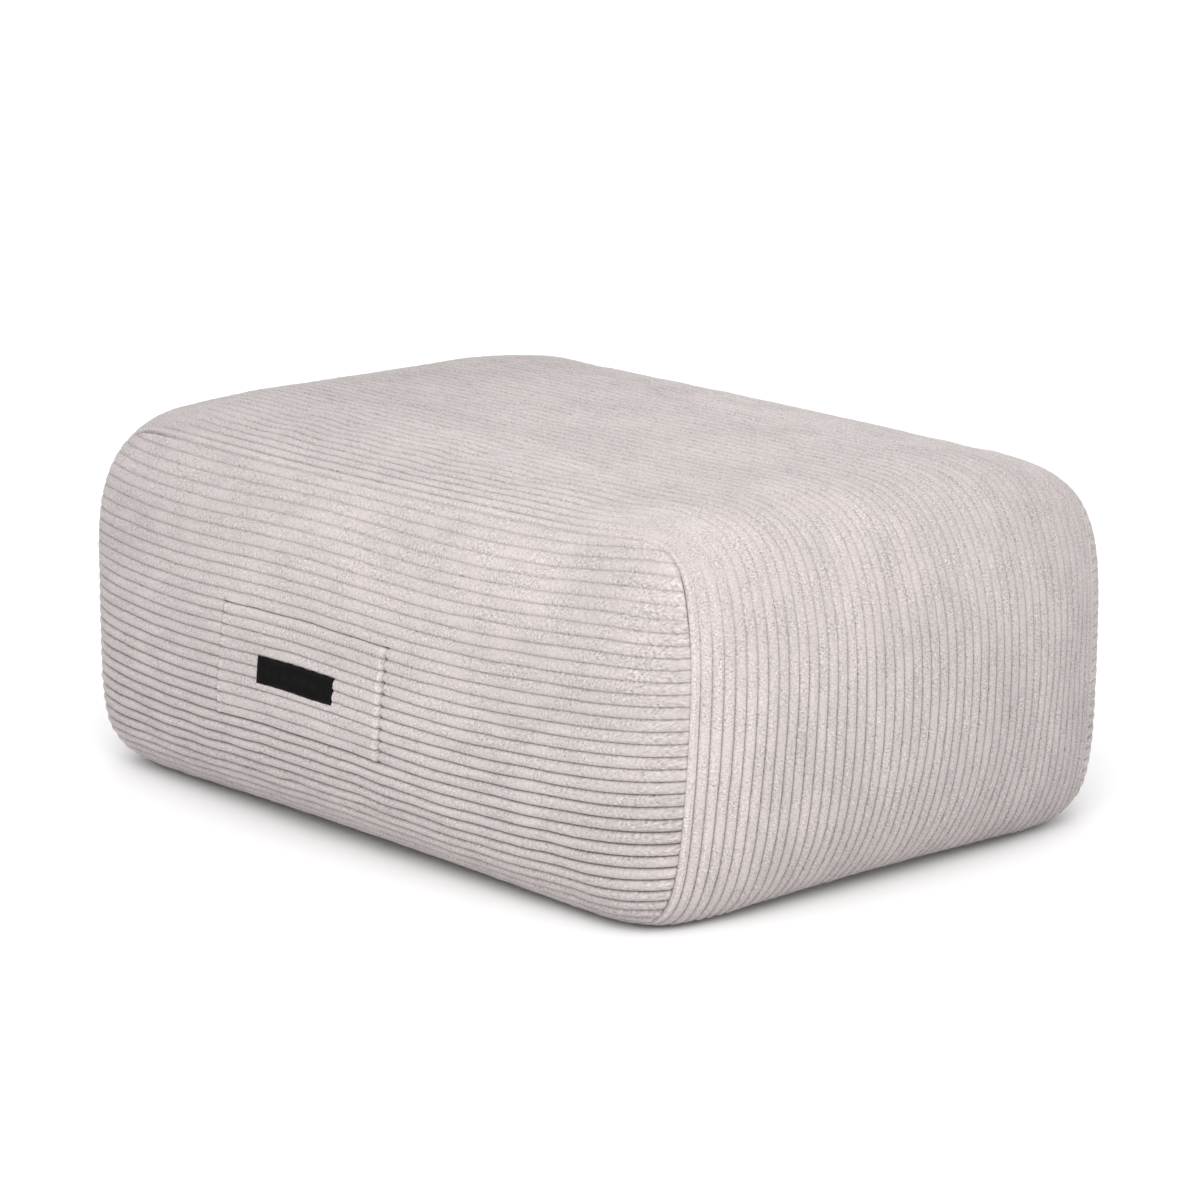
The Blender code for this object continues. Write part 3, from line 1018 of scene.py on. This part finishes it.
def cord_material():
    """Jumbo cord: a matt pile in wales, with rows of tufts, small pits and brushed patches."""
    weave = Weave("cord_cloth", CORD_COLOR, roughness=0.95, specular=0.08, sheen=0.08)
    weave.over_cloth()
    ribs = weave.noise((700, 110, 1), 0.5)
    ticks = weave.noise((760, 360, 1), 1.5)
    tufts = weave.noise((660, 720, 1), 2.0)
    patches = weave.noise((48, 62, 1), 2.0)
    worn = weave.noise((11, 16, 1), 2.0)
    streaks = weave.noise((24, 75, 1), 1.5)
    pits = weave.cells((300, 300, 1))
    # Painted shade: the colour darkens towards the grooves, where the crest field is low.
    deep, mid = (tuple(share * channel for channel in CORD_COLOR) for share in (0.55, 0.9))
    pile = weave.ramp(weave.attribute("crest"), (0.0, deep), (0.5, mid), (0.95, CORD_COLOR))
    rough = weave.ramp(patches, (0.36, 0.42), (0.58, 1.0))
    comb = weave.ramp(ribs, (0.3, 0.95), (0.52, 1.0), (0.72, 1.03))
    shade = weave.fade(rough, weave.ramp(ticks, (0.3, 0.8), (0.5, 0.99), (0.68, 1.17)))
    speck = weave.fade(rough, weave.ramp(tufts, (0.32, 0.79), (0.52, 0.985), (0.7, 1.25)))
    holes = weave.fade(rough, weave.ramp(pits, (0.06, 0.45), (0.2, 1.0)))
    mottle = weave.ramp(patches, (0.3, 1.03), (0.62, 0.99))
    broad = weave.ramp(worn, (0.34, 0.955), (0.66, 1.045))
    streaky = weave.ramp(streaks, (0.34, 0.965), (0.66, 1.03))
    # Paler with the worn field: partly worn pile, partly painted light by the band's front seam and
    # the pocket's mouth.
    rubbed = weave.ramp(weave.attribute("worn"), (0.0, 1.0), (1.0, 1.2))
    # Painted shade: darker towards the -X end, at the back of the +X end and by its front seam.
    painted_shade_tint = weave.ramp(weave.attribute("painted_shade"), (0.0, 1.0), (1.0, 0.865))
    color = weave.multiply(pile, comb, shade, speck, holes, mottle, broad, streaky, rubbed, painted_shade_tint)
    height = weave.sum(ticks, tufts)
    return weave.finish(color, height, strength=0.55, distance=0.0006)


def thread_material():
    """Twisted sewing thread, a shade off the cloth."""
    weave = Weave("sewing_thread", (0.58, 0.53, 0.52), roughness=0.85, specular=0.15, sheen=0.1)
    weave.over_object()
    twist = weave.noise((1500, 1500, 3000), 1.0)
    color = weave.ramp(twist, (0.3, (0.46, 0.42, 0.41)), (0.7, (0.66, 0.61, 0.6)))
    return weave.finish(color, twist, strength=0.4, distance=0.0002)


def label_material():
    """Black embossed label with a fine grain and a low sheen."""
    weave = Weave("label_black", (0.008, 0.0085, 0.008), roughness=0.8, specular=0.04, sheen=0.0)
    weave.over_cloth()
    grain = weave.noise((2600, 2600, 1), 2.0)
    broad = weave.noise((90, 160, 1), 2.0)
    pressed = weave.ramp(weave.attribute("motif"), (0.0, 0.85), (1.0, 1.9))
    black = weave.ramp(grain, (0.3, (0.0042, 0.0045, 0.0042)), (0.7, (0.0072, 0.0077, 0.007)))
    uneven = weave.ramp(broad, (0.35, 0.85), (0.65, 1.1))
    color = weave.multiply(black, uneven, pressed)
    return weave.finish(color, grain, strength=0.35, distance=0.0002)


def floor_material():
    """Plain white studio floor with a faint unevenness."""
    weave = Weave("floor_white", (0.9, 0.9, 0.9), roughness=0.9, specular=0.0, sheen=0.0)
    weave.over_object()
    color = weave.ramp(weave.noise((0.7, 0.7, 0.7), 1.0), (0.3, 0.88), (0.7, 0.89))
    return weave.finish(color, weave.noise((40, 40, 40), 1.0), strength=0.02, distance=0.0005)


# ---- camera, light, floor
CAMERA_AZIMUTH = math.radians(48.7)
CAMERA_ELEVATION = math.radians(14.306)
CAMERA_DISTANCE = 3.1734
CAMERA_LENS = 125.61
AIM_RIGHT = 0.0055
AIM_HEIGHT = 0.1462


def direction(azimuth, elevation):
    """Unit vector towards an azimuth (0 in front, a quarter turn at +X) and an elevation."""
    level = math.cos(elevation)
    return Vector((math.sin(azimuth) * level, -math.cos(azimuth) * level, math.sin(elevation)))


def make_camera():
    """A long lens from the front corner at +X, a little above."""
    back = direction(CAMERA_AZIMUTH, CAMERA_ELEVATION)
    right = Vector((math.cos(CAMERA_AZIMUTH), math.sin(CAMERA_AZIMUTH), 0.0))
    data = bpy.data.cameras.new("camera")
    data.lens = CAMERA_LENS
    data.sensor_width = 36.0
    data.clip_end = 100.0
    made = linked("camera", data)
    aim = Vector(BODY_SHIFT) + right * AIM_RIGHT + Vector((0, 0, AIM_HEIGHT))
    made.location = aim + back * CAMERA_DISTANCE
    made.rotation_euler = back.to_track_quat("Z", "Y").to_euler()
    bpy.context.scene.camera = made


def make_area_light(name, azimuth, elevation, distance, size, power):
    """A square soft light that looks at the object from an azimuth and an elevation, in degrees."""
    toward = direction(math.radians(azimuth), math.radians(elevation))
    data = bpy.data.lights.new(name, "AREA")
    data.shape = "SQUARE"
    data.size = size
    data.energy = power
    made = linked(name, data)
    made.location = toward * distance + Vector((0, 0, 0.15))
    made.visible_camera = False
    made.rotation_euler = toward.to_track_quat("Z", "Y").to_euler()


def make_sky(level, lean):
    """An even white sky, a little brighter towards lean."""
    world = bpy.data.worlds.new("world")
    bpy.context.scene.world = world
    world.use_nodes = True
    tree = world.node_tree
    position = tree.nodes.new("ShaderNodeTexCoord")
    toward = tree.nodes.new("ShaderNodeVectorMath")
    toward.operation = "DOT_PRODUCT"
    toward.inputs[1].default_value = lean
    strength = tree.nodes.new("ShaderNodeMath")
    strength.operation = "ADD"
    strength.inputs[1].default_value = level
    tree.links.new(position.outputs["Generated"], toward.inputs[0])
    tree.links.new(toward.outputs["Value"], strength.inputs[0])
    background = tree.nodes["Background"]
    tree.links.new(strength.outputs["Value"], background.inputs["Strength"])
    background.inputs["Color"].default_value = (1.0, 1.0, 1.0, 1.0)


def make_stage():
    """A plain white floor under an even sky, with one big soft light from the camera's side."""
    size = 40.0
    corners = size * np.array([(-1, -1, 0), (1, -1, 0), (1, 1, 0), (-1, 1, 0)])
    floor = mesh_object("floor", corners, np.array([[0, 1, 2, 3]]), {}, floor_material())
    make_sky(level=1.02, lean=(0.04, -0.02, 0.25))
    make_area_light("key", azimuth=45.0, elevation=38.0, distance=2.7, size=1.5, power=36.5)
    bpy.context.scene.view_settings.view_transform = "Standard"


cord = cord_material()
thread = thread_material()
band_form = band_base()
GIVE = {}
walls = {side: (wall_points(*coarse_grid(), side), False) for side in (-1, 1)}
GIVE = simulate_give({**walls, "band": (band_form[::6, ::2], True)})
band_grid, band_across = make_band(band_form, cord)
make_side_panel("side_panel_front", -1, cord)
make_side_panel("side_panel_back", 1, cord)
make_pocket(cord)
make_label(label_material())
make_topstitch("topstitch_front", band_grid, band_across, thread)
make_topstitch("topstitch_back", band_grid[::-1], band_across, thread)
make_pocket_stitches(thread)
make_stage()
make_camera()
